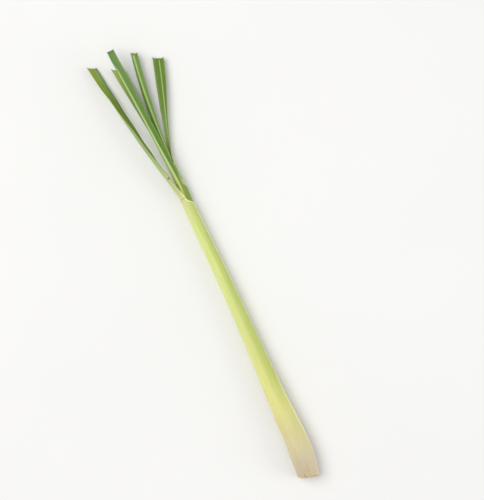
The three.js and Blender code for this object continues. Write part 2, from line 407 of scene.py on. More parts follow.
def sheath_rings(leaf, layer, stations, shares):
    """The outer and inner faces of a sheath at its stations, and each point's place on the leaf."""
    x, share = np.meshgrid(stations, shares, indexing="ij")
    sheath = along(SHEATH_THICKNESS, x)
    narrowing = smoothstep(x, leaf["collar"] - MOUTH, leaf["collar"])
    under, over = (np.radians(mix(*leaf[key], x / leaf["collar"])) for key in ("under", "over"))
    neck_reach = leaf["neck"] / radius_at_collar(leaf, layer)
    reach = mix(np.where(share < 0, under, over), neck_reach, narrowing)
    turn = share * reach
    angle = math.radians(leaf["midrib"]) + turn
    from_edge = reach - np.abs(turn)
    wall = mix(MARGIN_THICKNESS, sheath, smoothstep(from_edge, *np.radians(MARGIN_WIDTH)))
    rise = 0
    if leaf["overlaps"]:
        start, end = (over - math.radians(before) for before in OVERLAP_RISE)
        rise = (MARGIN_THICKNESS + GAP) * smoothstep(turn, start, end)
    inner_depth = depth_of(layer, x) + sheath - rise
    radius = along(HALF_WIDTH, x) - inner_depth
    edge = from_edge * radius
    deeper = (GAP - SEEN_GAP) * (1 - narrowing)
    thinning = (MARGIN_THICKNESS + deeper - EDGE_THICKNESS) * (1 - smoothstep(edge, 0, EDGE_TAPER))
    outer_depth = inner_depth - wall - ridge_at(x - leaf["collar"]) + thinning
    if layer == 0:
        outer_depth = outer_depth - outer_ribs(x, turn, edge)
    cut_x = x + root_cut(x, turn, angle, layer)
    outer = point_in_stalk(cut_x, outer_depth, angle)
    inner = point_in_stalk(cut_x, inner_depth + deeper, angle)
    return outer, inner, dict(along=x, across=turn * radius, edge=edge, turn=np.degrees(turn))


# ---- Blades ----


def midrib_curve(blade, start, steps):
    """Points and tangents of a blade's midrib at even steps of its length, and that length."""
    x = np.float64(blade["collar"])
    tip = np.array(blade["tip"], float)
    leaving = radial(x, np.radians(np.float64(blade["midrib"]))) * blade["leaving"] + axis_tangent(x)
    bend = start + leaving * blade["lead"]
    drawn = mix(bend, tip, 0.5) + np.array([0, blade["sway"], 0])
    knots = np.array([start, bend, drawn, tip])
    t = np.linspace(0, 1, CURVE_SAMPLES)
    pieces = np.diff(bezier(knots, t[:, None]), axis=0)
    lengths = np.concatenate([[0], np.cumsum(np.linalg.norm(pieces, axis=1))])
    at = np.interp(steps * lengths[-1], lengths, t)[:, None]
    return bezier(knots, at), unit(bezier(np.diff(knots, axis=0), at)), lengths[-1]


def folded(q, fold):
    """The inner face of a folded section, as (across, outward) at a distance q from the midrib."""
    out = (FOLD_ROUNDING - np.hypot(q, FOLD_ROUNDING)) * np.sin(fold)
    return q * np.cos(fold), out


def thickened(across, out, walls):
    """The outer face of a section, from its inner face and the thickness at each point."""
    normal = np.stack([-np.gradient(out, axis=1), np.gradient(across, axis=1)], -1)
    normal = unit(normal) * walls[..., None]
    return across + normal[..., 0], out + normal[..., 1]


def rings_on_curve(blade, steps, curve, faces, seed):
    """Sets flat sections on a blade's midrib, and cuts the last one slanted and ragged."""
    origin, tangent, length = curve
    turning = mix(blade["midrib"], blade["midrib_at_tip"], smooth(steps))
    turning = turning + along(blade["twist"], steps)
    out = radial(np.full_like(steps, blade["collar"]), np.radians(turning))
    out = unit(out - tangent * np.sum(out * tangent, -1, keepdims=True))
    sideways = np.cross(tangent, out)
    trim_angle = math.radians(blade["trim"])
    trim = np.array([math.cos(trim_angle), math.sin(trim_angle), 0])
    lean = smoothstep(steps, TRIM_START, 1) / (tangent @ trim)
    near_tip = np.maximum(0, 1 - (1 - steps) * length / TIP_REACH) ** 2
    placed = []
    for across, outward in faces:
        share = across / np.abs(across).max()
        cut = TIP_RAGGEDNESS * (waves(share * TIP_LINE["pitch"], TIP_LINE["count"], seed) - TIP_LEVEL)
        cut = cut + TIP_CORNER * np.abs(share) ** TIP_SQUARENESS
        offset = sideways[:, None] * across[..., None] + out[:, None] * outward[..., None]
        forward = cut * near_tip[:, None] - lean[:, None] * (offset @ trim)
        placed.append(origin[:, None] + offset + tangent[:, None] * forward[..., None])
    return placed


def margin_wave(steps, share, length, seed):
    """How far a blade's margins lift, in soft waves along them."""
    phase = steps[:, None] * length / MARGIN_WAVE_LENGTH
    sides = (waves(phase, MARGIN_WAVE_COUNT, seed + k) for k in (0, 1))
    lift = np.where(share < 0, *sides)
    return MARGIN_WAVE * lift * np.abs(share) ** 2 * smoothstep(steps, *MARGIN_WAVE_ALONG)[:, None]


def blade_rings(leaf, layer, steps, shares):
    """The two faces of a blade and each point's place on it, from its sheath's roll to its folded tip."""
    radius = radius_at_collar(leaf, layer)
    collar = np.float64(leaf["collar"])
    depth = depth_of(layer, collar) + MARGIN_THICKNESS
    start = point_in_stalk(collar, depth, np.radians(np.float64(leaf["midrib"])))
    curve = midrib_curve(leaf, start, steps)
    length = curve[2]
    t, share = np.meshgrid(steps, shares, indexing="ij")
    unrolled = smoothstep(t, 0, UNROLLED_BY)
    half_width = mix(leaf["neck"], leaf["blade"], smoothstep(t, 0, FULL_WIDTH_BY))
    q = share * half_width
    edge = half_width - np.abs(q)
    rolled = radius * np.sin(q / radius), radius * (np.cos(q / radius) - 1)
    flat = folded(q, np.radians(mix(*leaf["fold"], t)))
    across, out = (mix(a, b, unrolled) for a, b in zip(rolled, flat))
    out = out + margin_wave(steps, share, length, MARGIN_WAVE_SEED + layer)
    lamina = mix(MIDRIB_THICKNESS, LAMINA_THICKNESS, smoothstep(np.abs(q), *MIDRIB_SHOULDER))
    walls = mix(MARGIN_THICKNESS, lamina, unrolled) + ridge_at(t * length)
    taper = mix(EDGE_TAPER, BLADE_EDGE_TAPER, unrolled)
    walls = walls - (walls - EDGE_THICKNESS) * (1 - smoothstep(edge / taper, 0, 1))
    faces = [thickened(across, out, walls), (across, out)]
    outer, inner = rings_on_curve(leaf, steps, curve, faces, TIP_SEED + layer)
    place = dict(along=leaf["collar"] + t * length, across=q, edge=edge, turn=np.degrees(q / radius))
    return outer, inner, place


# ---- The youngest leaf ----


def rod_rings(stations, shares):
    """The rod in the middle of the stalk: two arcs that face each other."""
    x, share = np.meshgrid(stations, shares, indexing="ij")
    depth = depth_of(len(LEAVES), x)
    midrib = math.radians(HEART["midrib"])
    turn = share * math.pi / 2
    outer = point_in_stalk(x, depth, midrib + turn)
    inner = point_in_stalk(x, depth, midrib + math.pi - turn)
    across = turn * (along(HALF_WIDTH, x) - depth)
    edge = np.full_like(x, FAR_FROM_EDGE)
    return outer, inner, dict(along=x, across=across, edge=edge, turn=np.degrees(turn))


def heart_rings(steps, shares):
    """The rod opening into its blade."""
    collar = np.float64(HEART["collar"])
    radius = along(HALF_WIDTH, collar) - depth_of(len(LEAVES), collar)
    curve = midrib_curve(HEART, axis_point(collar), steps)
    t, share = np.meshgrid(steps, shares, indexing="ij")
    opened = smoothstep(t, 0, HEART_OPEN_BY)
    q = share * HEART["blade"]
    turn = share * math.pi / 2
    walls = mix(MIDRIB_THICKNESS, LAMINA_THICKNESS, smoothstep(np.abs(q), *HEART_SHOULDER))
    face = folded(q, np.radians(mix(*HEART["fold"], t)))
    arcs = [(radius * np.sin(turn), side * radius * np.cos(turn)) for side in (1, -1)]
    sections = [thickened(*face, walls), face]
    faces = [
        tuple(mix(a, b, opened) for a, b in zip(arc, section)) for arc, section in zip(arcs, sections)
    ]
    outer, inner = rings_on_curve(HEART, steps, curve, faces, HEART_TIP_SEED)
    edge = (1 - np.abs(share)) * HEART["blade"] + FAR_FROM_EDGE * (1 - opened)
    place = dict(along=HEART["collar"] + t * curve[2], across=q, edge=edge, turn=np.degrees(turn))
    return outer, inner, place


# ---- Meshes ----


def stations_of(layer):
    """Where a sheath's rings stand: close together at its cut and where it shows, and far apart inside."""
    closes = layer < len(LEAVES)
    mouth = LEAVES[layer]["collar"] - MOUTH if closes else HEART["collar"]
    shows = ROOT_REACH if layer == 0 else LEAVES[layer - 1]["collar"] - SEEN_EARLIER
    cut = np.arange(0, ROOT_REACH, CUT_SPACING)
    hidden = np.arange(ROOT_REACH, shows, HIDDEN_SPACING)
    seen = np.arange(shows, mouth - MOUTH_CLEARANCE, SEEN_SPACING)
    closing = np.linspace(mouth, mouth + MOUTH, MOUTH_STEPS, endpoint=False) if closes else []
    return np.concatenate([cut, hidden, seen, closing])


def blade_steps(length):
    """Where a blade's rings stand, as shares of its length: close together at its tip."""
    tip = 1 - TIP_LENGTH / length
    body = np.arange(0, 1, BLADE_SPACING / length)
    return np.concatenate([body[body < tip], np.linspace(tip, 1, TIP_STEPS)])


def skin_quads(rows, count):
    """The quads of one closed skin over a leaf's rings, and 1 for those of its two cut ends, else 0."""
    outer, inner = np.arange(2 * rows * count).reshape(rows, 2, count).swapaxes(0, 1)

    def quads(*corners):
        return np.stack(corners, -1).reshape(-1, 4)

    sides = [
        quads(outer[:-1, :-1], outer[:-1, 1:], outer[1:, 1:], outer[1:, :-1]),
        quads(inner[:-1, :-1], inner[1:, :-1], inner[1:, 1:], inner[:-1, 1:]),
        quads(outer[:-1, 0], outer[1:, 0], inner[1:, 0], inner[:-1, 0]),
        quads(outer[:-1, -1], inner[:-1, -1], inner[1:, -1], outer[1:, -1]),
    ]
    ends = [
        quads(outer[0, :-1], inner[0, :-1], inner[0, 1:], outer[0, 1:]),
        quads(outer[-1, :-1], outer[-1, 1:], inner[-1, 1:], inner[-1, :-1]),
    ]
    cut = np.repeat([0.0, 1.0], [sum(map(len, sides)), sum(map(len, ends))])
    return np.concatenate(sides + ends), cut


def mesh_object(name, outer, inner, place):
    """One closed skin over a leaf's rings, with its place on the leaf at every point."""
    rows, count = outer.shape[:2]
    points = np.stack([outer, inner], 1).reshape(-1, 3) + ORIGIN
    points[:, 2] = np.maximum(points[:, 2], FLOOR_CLEARANCE)
    quads, cut = skin_quads(rows, count)

    mesh = bpy.data.meshes.new(name)
    mesh.vertices.add(len(points))
    mesh.vertices.foreach_set("co", (points * MILLIMETRE).astype(np.float32).ravel())
    mesh.loops.add(quads.size)
    mesh.loops.foreach_set("vertex_index", quads.astype(np.int32).ravel())
    mesh.polygons.add(len(quads))
    mesh.polygons.foreach_set("loop_start", np.arange(0, quads.size, 4, dtype=np.int32))
    mesh.update(calc_edges=True)
    mesh.validate()
    mesh.shade_smooth()
    mesh.set_sharp_from_angle(angle=math.radians(SHARP_ANGLE))

    side = np.stack([np.zeros((rows, count)), np.ones((rows, count))], 1).ravel()
    both = {key: np.stack([value, value], 1).ravel() for key, value in place.items()}
    vectors = {
        "lay": np.stack([both["across"], both["along"], side], -1),
        "rim": np.stack([both["edge"], both["tip"], both["turn"]], -1),
    }
    for key, value in vectors.items():
        attribute = mesh.attributes.new(key, "FLOAT_VECTOR", "POINT")
        attribute.data.foreach_set("vector", value.astype(np.float32).ravel())
    mesh.attributes.new("cut", "FLOAT", "FACE").data.foreach_set("value", cut.astype(np.float32))
    made = bpy.data.objects.new(name, mesh)
    bpy.context.scene.collection.objects.link(made)
    return made


def joined(sheath, blade):
    """One row of rings from a sheath and its blade."""
    outer, inner = (np.concatenate([sheath[face], blade[face]]) for face in (0, 1))
    place = {key: np.concatenate([sheath[2][key], blade[2][key]]) for key in sheath[2]}
    place["tip"] = place["along"].max() - place["along"]
    return outer, inner, place


def make_leaf(leaf, layer):
    shares = np.linspace(-1, 1, leaf["columns"] + 1)
    sheath = sheath_rings(leaf, layer, stations_of(layer), shares)
    blade = blade_rings(leaf, layer, blade_steps(BLADE_LENGTH), shares)
    return mesh_object(leaf["name"] + "_dressed", *joined(sheath, blade))


def make_heart():
    shares = np.linspace(-1, 1, HEART["columns"] + 1)
    rod = rod_rings(stations_of(len(LEAVES)), shares)
    blade = heart_rings(blade_steps(HEART_BLADE_LENGTH), shares)
    return mesh_object(HEART["name"] + "_dressed", *joined(rod, blade))


# ---- Node graphs ----


def colour(code):
    """A linear colour from a six-digit sRGB code."""
    parts = [int(code[k : k + 2], 16) / 255 for k in (0, 2, 4)]
    return tuple(c / 12.92 if c <= 0.04045 else ((c + 0.055) / 1.055) ** 2.4 for c in parts) + (1.0,)


class Graph:
    """A material, with short names for the nodes that it is made of. A colour may be given by its code."""

    def __init__(self, name):
        self.material = bpy.data.materials.new(name)
        self.material.use_nodes = True
        self.tree = self.material.node_tree
        self.shader = self.tree.nodes["Principled BSDF"].inputs

    def put(self, socket, value):
        if isinstance(value, bpy.types.NodeSocket):
            self.tree.links.new(value, socket)
        else:
            socket.default_value = colour(value) if isinstance(value, str) else value

    def make(self, kind, inputs, **settings):
        node = self.tree.nodes.new("ShaderNode" + kind)
        for key, value in settings.items():
            setattr(node, key, value)
        for key, value in inputs.items():
            self.put(node.inputs[key], value)
        return node

    def vector(self, name):
        """An attribute of the mesh, whole and as its three parts."""
        node = self.make("Attribute", {}, attribute_name=name)
        parts = self.make("SeparateXYZ", {0: node.outputs["Vector"]})
        return node.outputs["Vector"], *parts.outputs

    def maths(self, operation, *values):
        return self.make("Math", dict(enumerate(values)), operation=operation).outputs[0]

    def plus(self, a, b):
        return self.maths("ADD", a, b)

    def minus(self, a, b):
        return self.maths("SUBTRACT", a, b)

    def times(self, a, b):
        return self.maths("MULTIPLY", a, b)

    def size(self, value):
        return self.maths("ABSOLUTE", value)

    def on_vectors(self, operation, a, b):
        return self.make("VectorMath", {0: a, 1: b}, operation=operation).outputs

    def fade(self, value, low, high, top=1.0):
        """0 at low rising smoothly to top at high. low may be above high."""
        inputs = {"Value": value, "From Min": low, "From Max": high, "To Max": top}
        return self.make("MapRange", inputs, interpolation_type="SMOOTHSTEP").outputs["Result"]

    def mixed(self, factor, a, b, blend="MIX"):
        node = self.make("Mix", {0: factor, 6: a, 7: b}, data_type="RGBA", blend_type=blend)
        return node.outputs[2]

    def noise(self, vector, scale, detail=2.0, roughness=0.5):
        inputs = {"Vector": vector, "Scale": scale, "Detail": detail, "Roughness": roughness}
        return self.make("TexNoise", inputs).outputs["Fac"]

    def ramp(self, value, stops):
        """The colour at a value, from [(value, code)]."""
        low, high = float(stops[0][0]), float(stops[-1][0])
        inputs = {"Value": value, "From Min": low, "From Max": high}
        node = self.make("ValToRGB", {"Fac": self.make("MapRange", inputs).outputs["Result"]})
        elements = node.color_ramp.elements
        while len(elements) < len(stops):
            elements.new(0.5)
        for element, (at, code) in zip(elements, stops):
            element.position = (at - low) / (high - low)
            element.color = colour(code)
        return node.outputs["Color"]


# ---- The leaves' skin ----
# A fade is where a thing has no strength, where it has all of it, and how much that is, if not 1. ALONG is in
# millimetres from the root end, PAST in millimetres past the leaf's collar, ROUND in degrees from its midrib,
# EDGE and ACROSS in millimetres from its margin and its midrib, and FADE in a noise's values. LAY is how a
# noise is drawn out: across the leaf, along it and from face to face. NOISE is its scale, detail and
# roughness. LEAST is added to a fade, so that it doesn't start from nothing.

BLADE_PAST = (-1.0, 12.0)  # where the sheath's look gives way to the blade's
SEED_SHIFT = np.array([31.0, 0.0, 7.0])  # from one leaf to the next, so that no two have the same noise

# The sheath: greener on the side away from the light, partly its own colour and partly painted shade; painted
# shade on one flank of the root end; and patchy.
GREENER_ROUND, GREENER_ALONG = (5.0, 112.0), (15.0, 120.0, 0.68)
# painted shade on one flank of the root end
DULLER_ROUND, DULLER_ALONG = (-15.0, -70.0), (190.0, 60.0)
DULLER_TINT = "b5a56c"
PATCH_LAY, PATCH_NOISE, PATCH_FADE = (0.35, 0.045, 5.0), (1.0, 3.0, 0.6), (0.4, 0.68, 0.22)
PATCH_TINT = "e3e6b8"

# The fibres.
FIBRE_LAY = (1.0, 0.025, 5.0)
STREAK_NOISE, STREAK_FADE = (1.1, 3.0, 0.65), (0.3, 0.7)
STREAK_ALONG, STREAK_LEAST = (20.0, 150.0, 0.1), 0.04
STREAK_TINT = "8d9a52"
VEIN_NOISE, VEIN_FADE, VEIN_STRENGTH = (4.2, 1.0, 0.5), (0.42, 0.6), 0.22
VEIN_TINT = "7f9a4c"
WHITE = "ffffff"

# Painted shade on one half of the blade's upper face, and more painted shade on that half's margin.
DARKER_ACROSS, DARKER_PAST = (1.2, -0.6), (50.0, 115.0)
DARKER_TINT = "98b74c"
DARK_MARGIN_ACROSS, DARK_MARGIN_PAST = (-3.0, -4.3), (40.0, 100.0)
DARK_MARGIN_TINT = "7d9a5a"

# The midrib, from its wide foot to the tip, and the pale flank beside that foot.
RIB_FOOT_PAST = (55.0, 5.0)
RIB_CORE = 0.35  # share of its half width that has its full colour
RIB_PAST, RIB_LEAST = (110.0, 20.0, 0.32), 0.84
RIB_START = 13.0  # length over which it starts
RIB_TIP_CORE = 0.4  # share of a look's rib_tip that has none of it
RIB_YELLOWER_PAST = (25.0, -12.0)
RIB_COLOUR, RIB_FOOT_COLOUR = "c8de90", "dee486"
FLANK_ACROSS, FLANK_PAST = (-0.2, -1.0), (75.0, 30.0)  # ACROSS in half widths of the midrib
FLANK_COLOUR = "c4d690"

# The margins: pale on the sheath, and with a brown rim on the blade. Near the root end the pale sheath margin
# is wider, partly its own colour and partly a painted highlight along the edge.
# near the root end the pale margin is partly a painted highlight along the edge
MARGIN_REACH, MARGIN_NEAR_ALONG = 1.5, (120.0, 60.0)  # its width, and where a look's margin_reach is added
MARGIN_CORE = 0.35  # share of that width that has its full colour
ROOT_MARGIN_COLOUR, ROOT_MARGIN_ALONG = "ead8b4", (12.0, 50.0)
RIM_EDGE, RIM_ON_BLADE = (0.75, 0.2), (0.3, 1.0, 0.5)
RIM_COLOUR = "525229"

# The thin line at the collar, by distance from it, and single marks.
COLLAR_LINE, COLLAR_COLOUR = (1.1, 0.2), "858736"
MARK_CORE, MARK_STRENGTH = 0.4, 0.8

# The dried root end, by an uneven distance from the cut and unevenly round the stalk, its specks, and the
# dried tips, by an uneven distance from theirs.
UNEVEN_LAY, UNEVEN_NOISE = (0.9, 0.25, 5.0), (1.0, 3.0, 0.7)
ROOT_UNEVENNESS, ROOT_DRIED = 4.0, (0.4, -1.2, 0.75)
AROUND_LAY, AROUND_NOISE = (0.16, 0.02, 5.0), (1.0, 2.0, 0.5)
AROUND_FADE, AROUND_LEAST = (0.42, 0.58, 0.75), 0.15
# past the notch the root end's brown is darker, partly dried skin and partly painted shade
PAST_NOTCH_ROUND = (33.0, 39.0)
ROOT_COLOUR, ROOT_COLOUR_PAST_NOTCH = "dab98c", "b29270"
SPECK_LAY, SPECK_NOISE, SPECK_FADE = (1.0, 0.5, 5.0), (1.3, 2.0, 0.5), (0.70, 0.76)
SPECK_ALONG, SPECK_COLOUR = (60.0, 10.0, 0.6), "7d6b4e"
TIP_UNEVENNESS, TIP_DRIED_FULL, TIP_DRIED_STRENGTH = 2.4, -0.9, 0.6

# The cut faces, with darker skins. SKIN_FADE is by distance from the middle of the leaf's thickness.
MIDDLE = 0.5
CUT_ALONG = (20.0, 30.0)  # from the root end's colours to the tips'
ROOT_FLESH, ROOT_SKIN, ROOT_SKIN_FADE = "eadfbd", "b39668", (0.3, 0.48, 0.55)
TIP_FLESH, TIP_SKIN, TIP_SKIN_FADE = "b4b67c", "7c7a4c", (0.2, 0.5, 0.6)

# The surface, and the bump along its fibres, whose depth is in metres.
ROUGHNESS, STREAK_ROUGHNESS, DRY_ROUGHNESS = 0.42, -0.08, 0.25
BUMP_NOISE, BUMP_NOISE_SHARE, BUMP_STREAK_SHARE = (3.4, 2.0, 0.6), 0.6, 0.4
BUMP_STRENGTH, BUMP_DEPTH = 0.35, 0.00025
SHADER_VALUES = {
    "Specular IOR Level": 0.45,
    "Subsurface Weight": 0.12,
    "Subsurface Radius": (1.0, 1.0, 0.35),
    "Subsurface Scale": 0.0012,
}


class LeafSkin(Graph):
    """Fresh leaf: colour by the place on the leaf, lengthwise streaks and veins, and dried cuts."""

    def __init__(self, name, look):
        super().__init__(name)
        self.look = look
        self.lay, self.across, self.length, self.side = self.vector("lay")
        _, self.edge, self.tip, self.turn = self.vector("rim")
        self.shifted = self.on_vectors("ADD", self.lay, SEED_SHIFT * look["seed"])[0]
        self.fibres = self.drawn_out(FIBRE_LAY)
        self.on_blade = self.past_collar(*BLADE_PAST)
        faces = [self.ramp(self.length, look[face]) for face in ("outer", "inner")]
        self.base = self.mixed(self.side, *faces)
        self.tint_sheath()
        streak = self.add_fibres()
        self.darken_blade()
        self.add_midrib()
        self.add_margins()
        self.add_marks()
        dryness = self.dry_ends()
        self.colour_cuts()
        self.put(self.shader["Base Color"], self.base)
        self.finish_surface(streak, dryness)

    def drawn_out(self, lay):
        return self.on_vectors("MULTIPLY", self.shifted, lay)[0]

    def past_collar(self, low, high, top=1.0):
        """A fade along the leaf, by distance past its collar."""
        collar = self.look["collar"]
        return self.fade(self.length, collar + low, collar + high, top)

    def paint(self, factor, over, blend="MIX"):
        """Lays a colour over what is there already."""
        self.base = self.mixed(factor, self.base, over, blend)

    def tint_sheath(self):
        """Greener away from the sheath's light side, partly its own colour and partly painted shade, painted
        shade on one flank of the root end, and patchy.
        """
        # the greener side away from the light: partly its own colour, partly painted shade
        greener = self.times(self.fade(self.turn, *GREENER_ROUND), self.fade(self.length, *GREENER_ALONG))
        self.paint(self.times(greener, self.minus(1.0, self.on_blade)), self.look["flank"])
        # painted shade on one flank of the root end
        duller = self.fade(self.length, *DULLER_ALONG, self.look["dull"])
        duller = self.times(self.fade(self.turn, *DULLER_ROUND), duller)
        self.paint(duller, DULLER_TINT, "MULTIPLY")
        patches = self.noise(self.drawn_out(PATCH_LAY), *PATCH_NOISE)
        self.paint(self.fade(patches, *PATCH_FADE), PATCH_TINT, "MULTIPLY")

    def add_fibres(self):
        """Streaks along the fibres, and finer veins on the blade. Gives the streaks."""
        streak = self.fade(self.noise(self.fibres, *STREAK_NOISE), *STREAK_FADE)
        strength = self.plus(self.fade(self.length, *STREAK_ALONG), STREAK_LEAST)
        self.paint(strength, self.mixed(streak, STREAK_TINT, WHITE), "MULTIPLY")
        vein = self.fade(self.noise(self.fibres, *VEIN_NOISE), *VEIN_FADE)
        strength = self.fade(self.on_blade, 0.0, 1.0, VEIN_STRENGTH)
        self.paint(strength, self.mixed(vein, VEIN_TINT, WHITE), "MULTIPLY")
        return streak

    def darken_blade(self):
        """Painted shade on one half of the blade's upper face, and more of it on the margin of that half."""
        # painted shade on one half of the upper face
        darker = self.times(self.fade(self.across, *DARKER_ACROSS, self.look["darker_half"]), self.side)
        self.paint(self.times(darker, self.past_collar(*DARKER_PAST)), DARKER_TINT, "MULTIPLY")
        # more painted shade along that half's margin
        margin = self.fade(self.across, *DARK_MARGIN_ACROSS, self.look["dark_margin"])
        margin = self.times(self.times(margin, self.side), self.past_collar(*DARK_MARGIN_PAST))
        self.paint(margin, DARK_MARGIN_TINT, "MULTIPLY")

    def add_midrib(self):
        """The pale midrib, which widens at the blade's foot, and a pale flank beside it there."""
        look = self.look
        foot = self.past_collar(*RIB_FOOT_PAST)
        half_width = self.plus(self.times(foot, look["rib_widening"]), look["rib_width"])
        from_rib = self.minus(self.across, self.times(foot, look["rib_drift"]))
        from_rib = self.maths("DIVIDE", from_rib, half_width)
        flank = self.fade(from_rib, *FLANK_ACROSS, look["pale_flank"])
        flank = self.times(flank, self.minus(1.0, self.side))
        self.paint(self.times(flank, self.past_collar(*FLANK_PAST)), FLANK_COLOUR)
        rib = self.fade(self.size(from_rib), 1.0, RIB_CORE, look["rib"])
        rib = self.times(rib, self.plus(self.past_collar(*RIB_PAST), RIB_LEAST))
        rib = self.times(rib, self.past_collar(-look["rib_below"], RIB_START - look["rib_below"]))
        rib = self.times(rib, self.fade(self.tip, RIB_TIP_CORE * look["rib_tip"], look["rib_tip"]))
        yellower = self.past_collar(*RIB_YELLOWER_PAST)
        self.paint(rib, self.mixed(yellower, RIB_COLOUR, RIB_FOOT_COLOUR))

    def add_margins(self):
        """A pale line along the margins, weaker on the blade, where they have a brown rim. Near the root end
        it is wider, partly the margin's own colour and partly a painted highlight along the edge.
        """
        look = self.look
        on_sheath = self.minus(1.0, self.times(self.on_blade, 1.0 - look["blade_margin"]))
        # wider near the root end, where the pale line is partly a painted highlight along the edge
        reach = self.plus(self.fade(self.length, *MARGIN_NEAR_ALONG, look["margin_reach"]), MARGIN_REACH)
        pale = self.fade(self.maths("DIVIDE", self.edge, reach), 1.0, MARGIN_CORE, look["margin"])
        from_root = self.fade(self.length, *ROOT_MARGIN_ALONG)
        margin = self.mixed(from_root, ROOT_MARGIN_COLOUR, look["margin_colour"])
        self.paint(self.times(pale, on_sheath), margin)
        rim = self.times(self.fade(self.edge, *RIM_EDGE), self.fade(self.on_blade, *RIM_ON_BLADE))
        self.paint(rim, RIM_COLOUR)

    def add_marks(self):
        """A thin olive line at the collar, and single marks on the outer face."""
        from_collar = self.size(self.minus(self.length, self.look["collar"]))
        self.paint(self.fade(from_collar, *COLLAR_LINE, self.look["collar_line"]), COLLAR_COLOUR)
        for across, length, size, code in self.look["marks"]:
            away = self.on_vectors("DISTANCE", self.lay, (across, length, 0.0))["Value"]
            self.paint(self.fade(away, size, MARK_CORE * size, MARK_STRENGTH), code)

    def dry_ends(self):
        """Dried brown at the root end, darker past the notch, partly painted shade there, with a few specks,
        and at the cut tip. Gives how dry it is.
        """
        uneven = self.noise(self.drawn_out(UNEVEN_LAY), *UNEVEN_NOISE)
        root = self.fade(self.minus(self.length, self.times(uneven, ROOT_UNEVENNESS)), *ROOT_DRIED)
        around = self.fade(self.noise(self.drawn_out(AROUND_LAY), *AROUND_NOISE), *AROUND_FADE)
        root = self.times(root, self.plus(around, AROUND_LEAST))
        # past the notch the root end's brown is darker, partly dried skin and partly painted shade
        past_notch = self.fade(self.turn, *PAST_NOTCH_ROUND)
        self.paint(root, self.mixed(past_notch, ROOT_COLOUR, ROOT_COLOUR_PAST_NOTCH))
        specks = self.fade(self.noise(self.drawn_out(SPECK_LAY), *SPECK_NOISE), *SPECK_FADE)
        self.paint(self.times(specks, self.fade(self.length, *SPECK_ALONG)), SPECK_COLOUR)
        from_tip = self.minus(self.tip, self.times(uneven, TIP_UNEVENNESS))
        tip = self.fade(from_tip, self.look["dried_reach"], TIP_DRIED_FULL, TIP_DRIED_STRENGTH)
        self.paint(tip, self.look["dried"])
        return self.maths("MAXIMUM", root, tip)

    def colour_cuts(self):
        """The cut faces, with darker skins."""
        cut = self.make("Attribute", {}, attribute_name="cut").outputs["Fac"]
        from_middle = self.size(self.minus(self.side, MIDDLE))
        root = self.mixed(self.fade(from_middle, *ROOT_SKIN_FADE), ROOT_FLESH, ROOT_SKIN)
        tip = self.mixed(self.fade(from_middle, *TIP_SKIN_FADE), TIP_FLESH, TIP_SKIN)
        self.paint(cut, self.mixed(self.fade(self.length, *CUT_ALONG), root, tip))

    def finish_surface(self, streak, dryness):
        """Satin, rougher where it is dry, with a fine bump along the fibres."""
        rough = self.plus(self.times(streak, STREAK_ROUGHNESS), ROUGHNESS)
        self.put(self.shader["Roughness"], self.plus(rough, self.times(dryness, DRY_ROUGHNESS)))
        height = self.times(self.noise(self.fibres, *BUMP_NOISE), BUMP_NOISE_SHARE)
        height = self.plus(height, self.times(streak, BUMP_STREAK_SHARE))
        bump = self.make("Bump", {"Height": height, "Strength": BUMP_STRENGTH, "Distance": BUMP_DEPTH})
        self.put(self.shader["Normal"], bump.outputs["Normal"])
        for key, value in SHADER_VALUES.items():
            self.put(self.shader[key], value)


# ---- The leaves' looks ----
# sheath has the colours of a sheath's outer face by distance from the root end, and outer and inner those of
# the blade's two faces, from the collar to the tip. dull, darker_half, dark_margin, rib,
# pale_flank, margin and collar_line are strengths, and blade_margin is the share of the margin's that it has
# on the blade. dull is painted shade on one flank of the root end, and darker_half and
# dark_margin are painted shade on one half of the blade's upper face and on that half's margin. rib_width is
# half the midrib's width, rib_widening and rib_drift how much wider and how far aside its foot is, rib_below
# how far below the collar it starts, and rib_tip how far from the tip it fades. margin_reach is
# how much wider the pale margin is near the root end, where it is partly its own colour and partly a painted
# highlight along the edge, and dried_reach how far down the tip has dried. flank and dried are the colours of
# the sheath's greener side, partly its own green and partly painted shade, and of the dried tip.

BLADE_STOPS = (0, 12, 30, 62)  # past the collar, for all but the last of a blade's colours
PAST_TIP = 8  # how far past the tip the last one lies
SHEATH_INSIDE = "e8e3b4", "dfe5a0"  # at the root end and below the collar
INSIDE_STOP = 40  # how far below


def look_of(leaf, seed, sheath, outer, inner, **more):
    collar = leaf["collar"]
    stops = [collar + past for past in BLADE_STOPS] + [leaf["tip"][0] + PAST_TIP]
    inside = list(zip((0, collar - INSIDE_STOP), SHEATH_INSIDE))
    look = dict(
        collar=float(collar),
        seed=seed,
        outer=sheath + list(zip(stops, outer)),
        inner=inside + list(zip(stops, inner)),
        flank="a3b650",
        dull=0.0,
        darker_half=0.0,
        dark_margin=0.0,
        rib=0.5,
        rib_width=1.0,
        rib_widening=0.0,
        rib_drift=0.0,
        rib_below=1.0,
        rib_tip=3.0,
        pale_flank=0.0,
        margin=0.5,
        margin_reach=0.0,
        margin_colour="e9efb4",
        blade_margin=0.3,
        collar_line=0.15,
        marks=(),
        dried="857f50",
        dried_reach=0.4,
    )
    look.update(more)
    return look


OUTER_SHEATH = [
    (0, "c9b79a"),
    (14, "cdbfa2"),
    (28, "d5c9a1"),
    (44, "dad099"),
    (64, "e4de94"),
    (95, "e5e591"),
    (170, "e0e893"),
    (245, "dfe792"),
]
# the darker green at the last stop is partly the inner sheaths' own colour and partly painted shade
INNER_SHEATH = [(0, "e3d9ad"), (60, "e3e3a4"), (200, "cfdc8b"), (265, "9db65a")]

